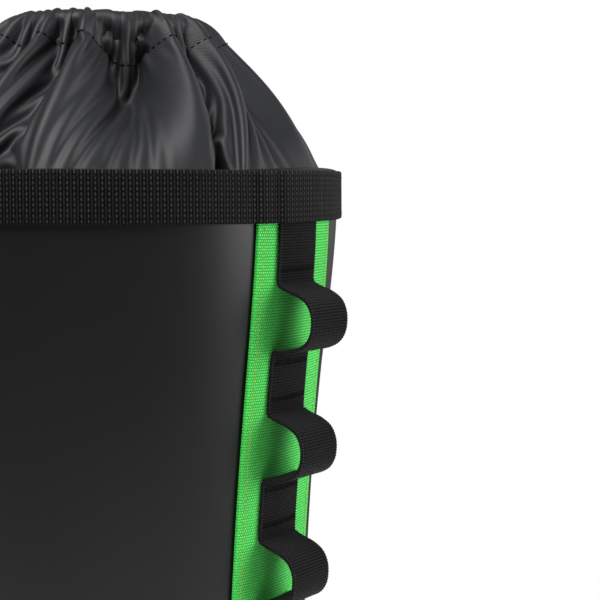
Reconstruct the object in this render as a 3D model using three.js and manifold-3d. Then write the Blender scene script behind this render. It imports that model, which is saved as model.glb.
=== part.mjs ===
// Rope storage bag: a coated fabric tube with a gathered closing skirt, webbing daisy chains
// up both sides, and a haul loop and a carry handle at the back.
// Millimetres, +Z up. The origin is the centre of the base, on the floor. The daisy chains are
// at +X and -X, the front is -Y and the carry handle is at +Y.

import * as THREE from "three";
import { mergeVertices } from "three/addons/utils/BufferGeometryUtils.js";
import Module from "manifold-3d";

const manifoldKit = await Module();
manifoldKit.setup();

// ---- driving dimensions -------------------------------------------------------------------

const GAP = 0.3; // clearance that neighbouring pieces keep
const ROUND_STEPS = 48; // facets round the bag
const QUARTER_TURN = Math.PI / 2;

const RIM_HEIGHT = 400;
const WALL_THICKNESS = 1.5;
// outer radius of the body at a few heights: straight foot, widening to the rim
const WALL_HEIGHTS = [0, 90, 170, 250, 330, 374, RIM_HEIGHT];
const WALL_RADII = [82, 82.4, 84.4, 88.2, 95.2, 98.9, 98.9];

const BASE_THICKNESS = 2.5;
const BASE_BAND = { low: 3, high: 33 };
const RIM_BAND = { low: 379.6, thickness: 1.8 };
const STIFFENER = { low: 383, high: 397, thickness: 1.5 };

const SHEET_THICKNESS = 1.5; // webbing and sewn patches
const SKIN_OUTER = GAP + SHEET_THICKNESS; // outer face of a strip sewn on the wall
const STRIP_LOW = BASE_BAND.high + GAP;
const STRIP_HIGH = RIM_BAND.low - GAP;

const SIDE_WEBBING_WIDTH = 50;
const DAISY_WIDTH = 26;
const DAISY_FIRST_LOOP = 341.3;
const DAISY_PITCH = 51.4;
const DAISY_LOOPS = 6;
const DAISY_LIFT = 15.5; // how far a loop's nose stands off the sewn stretches
const DAISY_SEAM = SKIN_OUTER + GAP + SHEET_THICKNESS / 2;
// one loop, from its top seam to its bottom seam: stand-off, height above the loop's middle
const DAISY_LOOP = [
  [0, 18], [1.1, 15.4], [5, 12.6], [10.6, 10.8], [14, 8.8], [DAISY_LIFT, 6],
  [DAISY_LIFT, -6], [14.4, -9.4], [11.4, -11.6], [7, -12.3], [3, -12.1], [0.8, -12.6], [0, -14.4],
];

// gathered skirt, outer face from the rim to the hem: radius, height
const SKIRT_THICKNESS = 2.2;
const SKIRT_OUTER = [
  [95.3, 386], [95.3, 400.6], [91.6, 404], [88.6, 409.4], [86.4, 415], [78, 426], [71, 435],
  [63, 444], [56.4, 450], [51.6, 452.6],
];

// drawcord channel round the skirt's top edge
const HEM = { inner: 31.5, outer: 47, low: 453.5, high: 468.5, wall: 1.9, corner: 3 };
const CORD_DIAMETER = 3.6;
const CORD_SIDES = 8;
const CORD_STEPS = 72;
const CORD_RING_RADIUS = 38.5;
const CORD_EXIT_HEIGHT = 461;
const CORD_SPACING = 4.2; // between the two cord ends, one above the other
const CORD_BEND = 7.2;
const CORD_EXIT_ANGLE = (135 * Math.PI) / 180; // back left

// cord lock, lying on the slope of the skirt
const SLOPE_ANGLE = (47.7 * Math.PI) / 180;
const SLOPE_START = [56, 451.7]; // radius, height
const LOCK = { along: 14, lift: 9.6, radius: 8.6, bore: 5.9, low: -13, high: 9.5, floor: 1.5 };
const LOCK_SLOT = { tall: 8.8, wide: 4.4 };
const BUTTON = { radius: 5.5, low: -4.2, high: 13, capRadius: 7, capLow: 12.6, capHigh: 15.5 };
const BUTTON_SLOT = { low: -2.15, high: 5.2 };
const SPRING = { radius: 4.4, wire: 0.35, turns: 3.5 };
const TAB = { start: 36, length: 20, width: 11, tall: 13, bore: 9 };

// haul loop, hanging at the back of the rim
const HAUL_WIDTH = 25;
const HAUL_TAB = { low: 352, high: 379, halfWidth: 14 };
const HAUL_PATH = [
  [104.2, 371.6], [104.3, 360], [104.1, 340], [104.2, 322], [105.4, 313], [108.4, 309],
  [112.2, 310.6], [114.2, 317], [114.4, 328], [112.6, 345], [109, 360], [106.2, 368], [105.9, 371.6],
];

// carry handle: back patch, sewn tabs, webbing and padded grip
const PATCH_HALF_WIDTH = 34;
const TAB_THICKNESS = 1.6;
const TAB_OUTER = SKIN_OUTER + GAP + TAB_THICKNESS; // outer face of a tab sewn on the back patch
const HANDLE = { width: 25, tabHalfWidth: 16, upperTab: [294, 334], lowerTab: [106, 146] };
// distance off the sewn line, height: flat on each tab and bowed out between them
const HANDLE_PATH = [
  [0, 331], [0, 300], [2, 290], [9, 278], [18, 264], [24, 248], [26.5, 232], [27, 220],
  [26.5, 208], [24, 192], [18, 176], [9, 162], [2, 150], [0, 140], [0, 109],
];
const GRIP = { low: 174, high: 266, width: 34, thickness: 9 };

const TIE_LOOP_WIDTH = 20;
const TIE_LOOP_PATH = [
  [-79.2, 8], [-71, 8.6], [-63, 11.4], [-58.6, 16], [-57.8, 21], [-61, 27], [-69, 30], [-79.2, 30.6],
];

// ---- shared shapes ------------------------------------------------------------------------

const wallSpline = new THREE.CubicInterpolant(WALL_HEIGHTS, WALL_RADII, 1, new Float32Array(1));

function wallRadius(height) {
  return wallSpline.evaluate(height)[0];
}

function signedVolume(position, index) {
  const [a, b, c] = [new THREE.Vector3(), new THREE.Vector3(), new THREE.Vector3()];
  let total = 0;
  for (let i = 0; i < index.length; i += 3) {
    a.fromBufferAttribute(position, index[i]);
    b.fromBufferAttribute(position, index[i + 1]);
    c.fromBufferAttribute(position, index[i + 2]);
    total += a.dot(b.cross(c)) / 6;
  }
  return total;
}

// one closed body: shared vertices, no flat triangles, faces pointing out
function closedBody(geometry) {
  const bare = new THREE.BufferGeometry();
  bare.setAttribute("position", geometry.getAttribute("position"));
  if (geometry.index) bare.setIndex(geometry.index);
  const merged = mergeVertices(bare, 1e-3);
  const source = merged.index.array;
  let index = [];
  for (let i = 0; i < source.length; i += 3) {
    const [a, b, c] = [source[i], source[i + 1], source[i + 2]];
    if (a !== b && b !== c && c !== a) index.push(a, b, c);
  }
  if (signedVolume(merged.getAttribute("position"), index) < 0) index = index.reverse();
  merged.setIndex(index);
  merged.computeVertexNormals();
  return merged;
}

function toManifold(geometry) {
  const body = closedBody(geometry);
  return new manifoldKit.Manifold(
    new manifoldKit.Mesh({
      numProp: 3,
      vertProperties: new Float32Array(body.getAttribute("position").array),
      triVerts: new Uint32Array(body.index.array),
    }),
  );
}

function fromManifold(solid) {
  const mesh = solid.getMesh();
  const geometry = new THREE.BufferGeometry();
  geometry.setAttribute("position", new THREE.BufferAttribute(mesh.vertProperties, 3));
  geometry.setIndex(new THREE.BufferAttribute(mesh.triVerts, 1));
  return closedBody(geometry);
}

function subtract(geometry, ...tools) {
  let solid = toManifold(geometry);
  for (const tool of tools) solid = solid.subtract(toManifold(tool));
  return fromManifold(solid);
}

// turned solid about Z from a closed profile of [radius, height] points
function turned(profile, steps = ROUND_STEPS) {
  const points = [...profile, profile[0]].map(([radius, height]) => new THREE.Vector2(radius, height));
  return closedBody(new THREE.LatheGeometry(points, steps).rotateX(QUARTER_TURN));
}

// shell that follows the wall between two heights, from one offset to another
function wallShell(inner, outer, low, high, steps) {
  const heights = Array.from({ length: steps + 1 }, (_, i) => low + ((high - low) * i) / steps);
  const outside = heights.map((height) => [wallRadius(height) + outer, height]);
  const inside = heights.map((height) => [wallRadius(height) + inner, height]).reverse();
  return turned([...outside, ...inside]);
}

// the part of a shell inside a box, for a strip or patch sewn on the wall
function sewnPatch(shell, box) {
  const size = box.getSize(new THREE.Vector3());
  const middle = box.getCenter(new THREE.Vector3());
  const cutter = new THREE.BoxGeometry(size.x, size.y, size.z).translate(middle.x, middle.y, middle.z);
  return fromManifold(toManifold(shell).intersect(toManifold(cutter)));
}

function box(lowX, lowY, lowZ, highX, highY, highZ) {
  return new THREE.Box3(new THREE.Vector3(lowX, lowY, lowZ), new THREE.Vector3(highX, highY, highZ));
}

// points half a thickness to one side of a flat path
function offsetPath(path, distance) {
  return path.map(([u, v], i) => {
    const [u0, v0] = path[Math.max(i - 1, 0)];
    const [u1, v1] = path[Math.min(i + 1, path.length - 1)];
    const length = Math.hypot(u1 - u0, v1 - v0);
    return new THREE.Vector2(u - ((v1 - v0) / length) * distance, v + ((u1 - u0) / length) * distance);
  });
}

// flat band that follows a path of [outward, height] points; its width lies across the path
function bandAlong(path, width, thickness) {
  const outline = [...offsetPath(path, thickness / 2), ...offsetPath(path, -thickness / 2).reverse()];
  const band = new THREE.ExtrudeGeometry(new THREE.Shape(outline), { depth: width, bevelEnabled: false });
  return closedBody(band.rotateX(QUARTER_TURN).translate(0, width / 2, 0));
}

// the same band with its outward direction turned from +X to +Y
function backBand(path, width, thickness) {
  return bandAlong(path, width, thickness).rotateZ(QUARTER_TURN);
}

// more points on a smooth curve through a few given ones
function smoothPath(path, steps) {
  const curve = new THREE.SplineCurve(path.map(([u, v]) => new THREE.Vector2(u, v)));
  return curve.getSpacedPoints(steps).map((point) => [point.x, point.y]);
}

function barAlongY(radius, low, high, steps = 24) {
  return new THREE.CylinderGeometry(radius, radius, high - low, steps).translate(0, (low + high) / 2, 0);
}

function barAlongX(radius, low, high, steps = 24) {
  const bar = new THREE.CylinderGeometry(radius, radius, high - low, steps).rotateZ(QUARTER_TURN);
  return bar.translate((low + high) / 2, 0, 0);
}

// ---- body, rim and base -------------------------------------------------------------------

function baseDisc() {
  const radius = wallRadius(0) - WALL_THICKNESS - GAP;
  const disc = new THREE.CylinderGeometry(radius, radius, BASE_THICKNESS, ROUND_STEPS);
  return closedBody(disc.rotateX(QUARTER_TURN).translate(0, 0, BASE_THICKNESS / 2));
}

function rimStiffener() {
  const outer = WALL_RADII[WALL_RADII.length - 1] - WALL_THICKNESS - GAP;
  const inner = outer - STIFFENER.thickness;
  const { low, high } = STIFFENER;
  return turned([[outer, low], [outer, high], [inner, high], [inner, low]]);
}

// ---- skirt, drawcord channel and drawcord ----------------------------------------------------

function closureSkirt() {
  const outer = SKIRT_OUTER.map(([u, v]) => new THREE.Vector2(u, v));
  const inner = offsetPath(SKIRT_OUTER, SKIRT_THICKNESS).reverse();
  return turned([...outer, ...inner].map((point) => [point.x, point.y]));
}

// rectangle with cut corners, as a [radius, height] profile
function cutRectangle(inner, outer, low, high, corner) {
  return [
    [outer, low + corner], [outer, high - corner], [outer - corner, high], [inner + corner, high],
    [inner, high - corner], [inner, low + corner], [inner + corner, low], [outer - corner, low],
  ];
}

function drawcordChannel() {
  const { inner, outer, low, high, wall, corner } = HEM;
  const cloth = turned(cutRectangle(inner, outer, low, high, corner));
  const hollow = turned(cutRectangle(inner + wall, outer - wall, low + wall, high - wall, corner));
  const hole = barAlongX(5.8, outer - 2 * wall, outer + 5).translate(0, 0, CORD_EXIT_HEIGHT);
  return subtract(cloth, hollow, hole);
}

function exitEyelet() {
  const [bore, barrel, flange] = [4.6, 5.5, 6.6];
  const [start, face, end] = [HEM.outer - 1.6, HEM.outer + GAP, HEM.outer + 1.5];
  const profile = [[bore, start], [barrel, start], [barrel, face], [flange, face], [flange, end], [bore, end]];
  return turned(profile, 24).rotateY(QUARTER_TURN).translate(0, 0, CORD_EXIT_HEIGHT);
}

// place on the skirt's slope: distance down the slope and height above it
function onSlope(along, lift, y = 0) {
  const [radius, height] = SLOPE_START;
  const [sine, cosine] = [Math.sin(SLOPE_ANGLE), Math.cos(SLOPE_ANGLE)];
  return new THREE.Vector3(radius + along * cosine + lift * sine, y, height - along * sine + lift * cosine);
}

// one end of the cord, from inside the pull tab up the slope and in through the eyelet
function cordEnd(side) {
  const lift = LOCK.lift + (side * CORD_SPACING) / 2;
  const height = CORD_EXIT_HEIGHT + (side * CORD_SPACING) / 2;
  const bendStart = CORD_RING_RADIUS + CORD_BEND;
  return [
    onSlope(TAB.start + TAB.bore - GAP, lift),
    onSlope(TAB.start - 6, lift),
    onSlope(LOCK.along + 6, lift),
    onSlope(LOCK.along - 6, lift),
    onSlope(0, lift - 0.2),
    new THREE.Vector3(bendStart + 6, 0, height - 0.4),
    new THREE.Vector3(bendStart, side * 0.2, height),
    new THREE.Vector3(CORD_RING_RADIUS + CORD_BEND * 0.3, side * CORD_BEND * 0.32, height - side * 0.3),
  ];
}

function drawcordPath() {
  const ring = [];
  for (let degrees = 12; degrees <= 348; degrees += 14) {
    const angle = THREE.MathUtils.degToRad(degrees);
    const height = CORD_EXIT_HEIGHT + (CORD_SPACING / 2) * 0.8 * (1 - degrees / 180);
    const [x, y] = [CORD_RING_RADIUS * Math.cos(angle), CORD_RING_RADIUS * Math.sin(angle)];
    ring.push(new THREE.Vector3(x, y, height));
  }
  return new THREE.CatmullRomCurve3([...cordEnd(1), ...ring, ...cordEnd(-1).reverse()]);
}

function roundSection(radius, sides) {
  const corners = Array.from({ length: sides }, (_, i) => (i / sides) * 2 * Math.PI);
  const points = corners.map((angle) => new THREE.Vector2(radius * Math.cos(angle), radius * Math.sin(angle)));
  return new THREE.Shape(points);
}

function drawcord() {
  const section = roundSection(CORD_DIAMETER / 2, CORD_SIDES);
  const options = { steps: CORD_STEPS, bevelEnabled: false, extrudePath: drawcordPath() };
  return closedBody(new THREE.ExtrudeGeometry(section, options));
}

// ---- cord lock, with its barrel along Y and the cord through it along X ------------------------

function slotCutter(lowY, highY, length) {
  return new THREE.BoxGeometry(length, highY - lowY, LOCK_SLOT.tall).translate(0, (lowY + highY) / 2, 0);
}

function lockBody() {
  const barrel = barAlongY(LOCK.radius, LOCK.low, LOCK.high, 28);
  const bore = barAlongY(LOCK.bore, LOCK.low + LOCK.floor, LOCK.high + 1);
  return subtract(barrel, bore, slotCutter(-LOCK_SLOT.wide / 2, LOCK_SLOT.wide / 2, 40));
}

function lockButton() {
  const { radius, low, high, capRadius, capLow, capHigh } = BUTTON;
  const profile = [[0, low], [radius, low], [radius, capLow], [capRadius, capLow], [capRadius, capHigh - 1]];
  profile.push([capRadius - 1, capHigh], [0, capHigh]);
  const points = profile.map(([r, y]) => new THREE.Vector2(r, y));
  const plunger = new THREE.LatheGeometry(points, 24);
  return subtract(plunger, slotCutter(BUTTON_SLOT.low, BUTTON_SLOT.high, 40 + high));
}

class Helix extends THREE.Curve {
  constructor(radius, low, high, turns) {
    super();
    Object.assign(this, { radius, low, high, turns });
  }

  getPoint(t, target = new THREE.Vector3()) {
    const angle = 2 * Math.PI * this.turns * t;
    const y = this.low + (this.high - this.low) * t;
    return target.set(this.radius * Math.cos(angle), y, this.radius * Math.sin(angle));
  }
}

function lockSpring() {
  const low = LOCK.low + LOCK.floor + GAP + SPRING.wire;
  const high = BUTTON.low - GAP - SPRING.wire;
  const path = new Helix(SPRING.radius, low, high, SPRING.turns);
  const section = roundSection(SPRING.wire, 6);
  return closedBody(new THREE.ExtrudeGeometry(section, { steps: 56, bevelEnabled: false, extrudePath: path }));
}

// moulded end that holds both ends of the cord
function pullTab() {
  const half = { y: TAB.width / 2, z: TAB.tall / 2 };
  const corner = 3;
  const outline = new THREE.Shape([
    new THREE.Vector2(-half.y + corner, -half.z), new THREE.Vector2(half.y - corner, -half.z),
    new THREE.Vector2(half.y, -half.z + corner), new THREE.Vector2(half.y, half.z - corner),
    new THREE.Vector2(half.y - corner, half.z), new THREE.Vector2(-half.y + corner, half.z),
    new THREE.Vector2(-half.y, half.z - corner), new THREE.Vector2(-half.y, -half.z + corner),
  ]);
  const block = new THREE.ExtrudeGeometry(outline, { depth: TAB.length, bevelEnabled: false });
  const clearance = CORD_DIAMETER + 2 * GAP;
  const pocket = new THREE.BoxGeometry(2 * TAB.bore, clearance, clearance + CORD_SPACING);
  return subtract(block.rotateX(QUARTER_TURN).rotateZ(QUARTER_TURN), pocket);
}

// ---- webbing ----------------------------------------------------------------------------------

function sideWebbing() {
  const shell = wallShell(GAP, SKIN_OUTER, STRIP_LOW, STRIP_HIGH, 12);
  const half = SIDE_WEBBING_WIDTH / 2;
  return sewnPatch(shell, box(0, -half, 0, 200, half, RIM_HEIGHT));
}

// path of a daisy chain from the rim band down to the base band
function daisyPath() {
  const seam = (height) => [wallRadius(height) + DAISY_SEAM, height];
  const path = [seam(STRIP_HIGH), seam(STRIP_HIGH - 10)];
  for (let loop = 0; loop < DAISY_LOOPS; loop += 1) {
    const middle = DAISY_FIRST_LOOP - loop * DAISY_PITCH;
    for (const [lift, rise] of DAISY_LOOP) {
      const share = lift / DAISY_LIFT;
      const base = (1 - share) * wallRadius(middle + rise) + share * wallRadius(middle);
      path.push([base + DAISY_SEAM + lift, middle + rise]);
    }
  }
  path.push(seam(50), seam(STRIP_LOW));
  return path;
}

// centreline of the carry handle as [outward, height]
function handlePath() {
  const seam = TAB_OUTER + GAP + SHEET_THICKNESS / 2;
  return smoothPath(HANDLE_PATH.map(([lift, height]) => [wallRadius(height) + seam + lift, height]), 40);
}

// padded sleeve round the bowed middle of the handle
function gripSleeve() {
  const path = handlePath();
  const covered = path.filter(([, height]) => height > GRIP.low && height < GRIP.high);
  const sleeve = backBand(covered, GRIP.width, GRIP.thickness);
  return subtract(sleeve, backBand(path, HANDLE.width + 2 * GAP, SHEET_THICKNESS + 2 * GAP));
}

// ---- assembly -----------------------------------------------------------------------------------

const COLOURS = {
  tarpaulin: [0x1c1c1d, 0.45],
  skirt: [0x3a3b3e, 0.7],
  blackWebbing: [0x1a1a1b, 0.85],
  green: [0x35c257, 0.8],
  cord: [0x222224, 0.8],
  plastic: [0x18181a, 0.5],
  steel: [0x9a9ca0, 0.3],
};

const bag = new THREE.Group();

function add(name, geometry, finish, parent = bag) {
  const [color, roughness] = COLOURS[finish];
  const metalness = finish === "steel" ? 0.9 : 0;
  const mesh = new THREE.Mesh(geometry, new THREE.MeshStandardMaterial({ color, roughness, metalness }));
  mesh.name = name;
  parent.add(mesh);
  return mesh;
}

function addBody() {
  add("body_wall", wallShell(-WALL_THICKNESS, 0, 0, RIM_HEIGHT, 12), "tarpaulin");
  add("base_disc", baseDisc(), "tarpaulin");
  add("base_band", wallShell(GAP, SKIN_OUTER, BASE_BAND.low, BASE_BAND.high, 2), "blackWebbing");
  add("rim_band", wallShell(GAP, GAP + RIM_BAND.thickness, RIM_BAND.low, RIM_HEIGHT, 2), "blackWebbing");
  add("rim_stiffener", rimStiffener(), "plastic");
  add("inner_tie_loop", backBand(TIE_LOOP_PATH, TIE_LOOP_WIDTH, SHEET_THICKNESS), "blackWebbing");
}

function addClosure() {
  add("closure_skirt", closureSkirt(), "skirt");
  const exit = new THREE.Group();
  exit.rotation.z = CORD_EXIT_ANGLE;
  bag.add(exit);
  add("drawcord_channel", drawcordChannel(), "skirt", exit);
  add("cord_exit_eyelet", exitEyelet(), "steel", exit);
  add("drawcord", drawcord(), "cord", exit);
  const slope = new THREE.Group();
  slope.position.copy(onSlope(0, LOCK.lift));
  slope.rotation.y = SLOPE_ANGLE;
  exit.add(slope);
  add("cord_lock_body", lockBody(), "plastic", slope).position.x = LOCK.along;
  add("cord_lock_button", lockButton(), "plastic", slope).position.x = LOCK.along;
  add("cord_lock_spring", lockSpring(), "steel", slope).position.x = LOCK.along;
  add("cord_pull_tab", pullTab(), "plastic", slope).position.x = TAB.start;
}

function addSides() {
  const sides = [["right", 0], ["left", Math.PI]];
  for (const [side, angle] of sides) {
    add(`side_webbing_${side}`, sideWebbing(), "green").rotation.z = angle;
    const chain = bandAlong(daisyPath(), DAISY_WIDTH, SHEET_THICKNESS);
    add(`daisy_chain_${side}`, chain, "blackWebbing").rotation.z = angle;
  }
}

// tab sewn on the back patch between two heights
function backTab(low, high, halfWidth) {
  const shell = wallShell(SKIN_OUTER + GAP, TAB_OUTER, low, high, 2);
  return sewnPatch(shell, box(-halfWidth, 0, 0, halfWidth, 200, RIM_HEIGHT));
}

function addHaulLoop() {
  add("haul_loop_tab", backTab(HAUL_TAB.low, HAUL_TAB.high, HAUL_TAB.halfWidth), "blackWebbing");
  add("haul_loop", backBand(HAUL_PATH, HAUL_WIDTH, SHEET_THICKNESS), "blackWebbing");
}

function addCarryHandle() {
  const shell = wallShell(GAP, SKIN_OUTER, STRIP_LOW, STRIP_HIGH, 12);
  const patch = sewnPatch(shell, box(-PATCH_HALF_WIDTH, 0, 0, PATCH_HALF_WIDTH, 200, RIM_HEIGHT));
  add("back_patch", patch, "tarpaulin");
  add("handle_tab_upper", backTab(...HANDLE.upperTab, HANDLE.tabHalfWidth), "blackWebbing");
  add("handle_tab_lower", backTab(...HANDLE.lowerTab, HANDLE.tabHalfWidth), "blackWebbing");
  add("carry_handle", backBand(handlePath(), HANDLE.width, SHEET_THICKNESS), "blackWebbing");
  add("handle_grip", gripSleeve(), "skirt");
}

addBody();
addClosure();
addSides();
addHaulLoop();
addCarryHandle();

export default bag;
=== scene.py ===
# Looks of a rope storage bag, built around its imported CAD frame.
# Metres, +Z up, the same frame as the CAD: daisy chains at +X and -X, carry handle and haul loop at +Y.

import math

import bpy
import numpy as np
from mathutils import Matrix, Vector


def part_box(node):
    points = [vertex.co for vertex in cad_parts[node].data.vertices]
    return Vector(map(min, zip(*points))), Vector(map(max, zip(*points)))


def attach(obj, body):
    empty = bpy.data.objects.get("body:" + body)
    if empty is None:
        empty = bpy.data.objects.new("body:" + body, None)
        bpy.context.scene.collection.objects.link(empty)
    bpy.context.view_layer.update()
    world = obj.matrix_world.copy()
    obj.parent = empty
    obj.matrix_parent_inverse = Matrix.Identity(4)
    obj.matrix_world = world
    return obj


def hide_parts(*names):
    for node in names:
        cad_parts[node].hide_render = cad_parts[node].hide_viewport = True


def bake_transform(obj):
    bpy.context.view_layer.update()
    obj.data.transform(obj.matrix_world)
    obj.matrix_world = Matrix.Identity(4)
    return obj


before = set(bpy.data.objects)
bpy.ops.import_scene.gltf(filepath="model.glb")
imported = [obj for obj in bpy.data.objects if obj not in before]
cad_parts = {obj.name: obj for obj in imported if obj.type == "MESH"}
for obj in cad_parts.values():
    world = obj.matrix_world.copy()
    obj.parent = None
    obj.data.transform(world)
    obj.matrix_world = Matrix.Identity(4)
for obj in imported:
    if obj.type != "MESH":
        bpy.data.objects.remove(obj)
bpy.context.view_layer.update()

MM = 0.001

# ---- camera: to the right of the front, level with the rim, looking slightly down ----

CAMERA_AZIMUTH = 41.3
CAMERA_DISTANCE = 0.62
CAMERA_HEIGHT = 0.3945
CAMERA_PITCH = 4.69
CAMERA_YAW = 7.72
CAMERA_LENS = 84.7


def make_camera():
    azimuth = math.radians(CAMERA_AZIMUTH)
    heading = azimuth - math.radians(CAMERA_YAW)
    data = bpy.data.cameras.new("camera")
    data.lens = CAMERA_LENS
    data.sensor_width = 36
    data.clip_start = 0.01
    camera = bpy.data.objects.new("camera", data)
    bpy.context.scene.collection.objects.link(camera)
    out = Vector((math.sin(azimuth), -math.cos(azimuth), 0)) * CAMERA_DISTANCE
    camera.location = out + Vector((0, 0, CAMERA_HEIGHT))
    camera.rotation_euler = (math.radians(90 - CAMERA_PITCH), 0, heading)
    bpy.context.scene.camera = camera


make_camera()

# ---- driving dimensions, as in the CAD ----

GAP = 0.3 * MM
SHEET = 1.5 * MM
WALL_THICKNESS = 1.5 * MM
RIM_WEBBING = 1.8 * MM


def heights(node):
    return (corner.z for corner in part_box(node))


RIM_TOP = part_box("body_wall")[1].z
BAND_LOW, BAND_HIGH = heights("rim_band")
FOOT_LOW, FOOT_HIGH = heights("base_band")
STRIP_LOW, STRIP_HIGH = heights("side_webbing_right")
SIDE_WIDTH = 50 * MM
DAISY_WIDTH = 24 * MM
DAISY_FIRST_LOOP = 341.3 * MM
DAISY_PITCH = 51.4 * MM
DAISY_LOOPS = 6
DAISY_LIFT = 17 * MM
# the daisy chain is sewn a little forward of the side webbing's middle
DAISY_FORWARD = 3 * MM
DAISY_SEAM = 2 * GAP + 1.5 * SHEET
# one loop, from its top seam to its bottom seam: stand-off, height above the loop's middle, in mm
DAISY_LOOP = [
    (0, 16), (1, 13.9), (4.6, 12), (9.8, 10.4), (14.4, 7.6), (16.6, 3.6), (17, -0.5),
    (16.2, -5), (13.6, -8.8), (9, -11.2), (4.2, -12), (1, -12.6), (0, -14.4),
]


def wall_fit():
    """Outer radius of the bag's wall over its height, as a smooth curve through the CAD wall's rings."""
    points = np.array([v.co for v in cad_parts["body_wall"].data.vertices])
    radius = np.hypot(points[:, 0], points[:, 1])
    levels = np.unique(np.round(points[:, 2], 5))
    rings = [radius[np.abs(points[:, 2] - level) < 1e-5].max() for level in levels]
    return np.polyfit(levels, rings, 7)


WALL_FIT = wall_fit()


def wall_radius(height):
    return np.polyval(WALL_FIT, height)


# ---- mesh helpers ----


def new_object(name, points, faces, uvs=None):
    """Smooth mesh object from points, faces and, where given, one UV pair for each face corner."""
    mesh = bpy.data.meshes.new(name)
    mesh.from_pydata([tuple(p) for p in points], [], [tuple(int(i) for i in f) for f in faces])
    if uvs is not None:
        layer = mesh.uv_layers.new(name="cloth")
        layer.data.foreach_set("uv", np.asarray(uvs, np.float32).ravel())
    mesh.polygons.foreach_set("use_smooth", [True] * len(mesh.polygons))
    mesh.update()
    obj = bpy.data.objects.new(name, mesh)
    bpy.context.scene.collection.objects.link(obj)
    return obj


def grid_faces(rows, columns, closed_rows=False, closed_columns=False):
    """Quads of a grid numbered row by row, and the grid steps (row, column) of each corner."""
    row_count = rows if closed_rows else rows - 1
    column_count = columns if closed_columns else columns - 1
    r, c = np.meshgrid(np.arange(row_count), np.arange(column_count), indexing="ij")
    r, c = r.ravel(), c.ravel()
    steps = np.stack([np.stack([r, c], 1), np.stack([r, c + 1], 1),
                      np.stack([r + 1, c + 1], 1), np.stack([r + 1, c], 1)], 1)
    return (steps[:, :, 0] % rows) * columns + steps[:, :, 1] % columns, steps


def grid_object(name, points, u, v, closed_rows=False, closed_columns=False, caps=False):
    """Object from a (rows, columns, 3) grid. u and v are cloth lengths at the grid's rows and columns."""
    rows, columns = points.shape[:2]
    faces, steps = grid_faces(rows, columns, closed_rows, closed_columns)
    uvs = np.stack([np.asarray(v)[steps[:, :, 1]], np.asarray(u)[steps[:, :, 0]]], -1)
    faces, uvs = [list(f) for f in faces], [list(map(list, f)) for f in uvs]
    if caps:
        faces += [list(range(columns))[::-1], [(rows - 1) * columns + c for c in range(columns)]]
        uvs += [[[0, 0]] * columns] * 2
    flat = [pair for face in uvs for pair in face]
    return new_object(name, points.reshape(-1, 3), faces, flat)


def lengths(path):
    """Distance along a path at each of its points."""
    steps = np.linalg.norm(np.diff(path, axis=0), axis=1)
    return np.concatenate([[0], np.cumsum(steps)])


def along_path(path, at):
    """Points of a path at the given distances along it."""
    along = lengths(path)
    return np.stack([np.interp(at, along, path[:, k]) for k in range(3)], 1)


def smooth_path(points, spacing):
    """Evenly spaced points on a Catmull-Rom curve through the given ones."""
    p = np.asarray(points, float)
    q = np.concatenate([2 * p[:1] - p[1:2], p, 2 * p[-1:] - p[-2:-1]])
    t = np.linspace(0, 1, 16, endpoint=False)[:, None]
    fine = []
    for a, b, c, d in zip(q[:-3], q[1:-2], q[2:-1], q[3:]):
        fine.append(0.5 * (2 * b + (c - a) * t + (2 * a - 5 * b + 4 * c - d) * t**2
                           + (3 * b - a - 3 * c + d) * t**3))
    fine = np.concatenate([*fine, p[-1:]])
    total = lengths(fine)[-1]
    return along_path(fine, np.linspace(0, total, max(2, int(round(total / spacing)) + 1)))


def unit(vectors):
    return vectors / np.maximum(np.linalg.norm(vectors, axis=-1, keepdims=True), 1e-12)


def sweep(path, side, up, aside, lift):
    """Grid of points round a path. aside and lift are offsets along its side and up directions."""
    return path[:, None] + aside[..., None] * side[:, None] + lift[..., None] * up[:, None]


def strap_section(width, thickness, columns):
    """Cross-section of webbing: (across, lift) points round a flat band with rounded edges."""
    half, round_r = width / 2, thickness / 2
    across = np.linspace(-half + round_r, half - round_r, columns)
    top = [(a, round_r) for a in across]
    right = [(half - round_r + round_r * math.cos(t), round_r * math.sin(t)) for t in (0.9, 0, -0.9)]
    bottom = [(a, -round_r) for a in across[::-1]]
    left = [(-a, b) for a, b in right[::-1]]
    return np.array(top + right + bottom + left)


def strap_frame(path, across, closed=False):
    """Unit directions across a strap and out of its face at each point of its path."""
    if closed:
        tangent = unit(np.roll(path, -1, 0) - np.roll(path, 1, 0))
    else:
        tangent = unit(np.gradient(path, axis=0))
    across = unit(np.broadcast_to(np.asarray(across, float), path.shape))
    return across, unit(np.cross(across, tangent))


def strap(name, path, across, width, thickness, columns, sag=None, closed=False):
    """Webbing along a path. across is the direction of its width, and sag(across, station) drops it
    along its normal, as where it lies on a round wall."""
    across, normal = strap_frame(path, across, closed)
    section = strap_section(width, thickness, columns)
    drop = np.zeros((len(path), len(section)))
    if sag is not None:
        drop = sag(section[:, 0][None, :], np.arange(len(path))[:, None])
    points = sweep(path, across, normal, section[:, 0][None, :], section[:, 1][None, :] - drop)
    around = lengths(np.concatenate([section, section[:1]])) - width / 2 + thickness / 2
    along = lengths(np.concatenate([path, path[:1]])) if closed else lengths(path)
    return grid_object(name, points, along, around, closed_rows=closed, closed_columns=True, caps=not closed)


# turns of yarn round an edge: spacing, then their place, length and radius as shares of the thickness
TURN_PITCH = 1.12 * MM
TURN_INSET, TURN_LENGTH, TURN_RADIUS = 0.42, 1.06, 0.48


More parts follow.
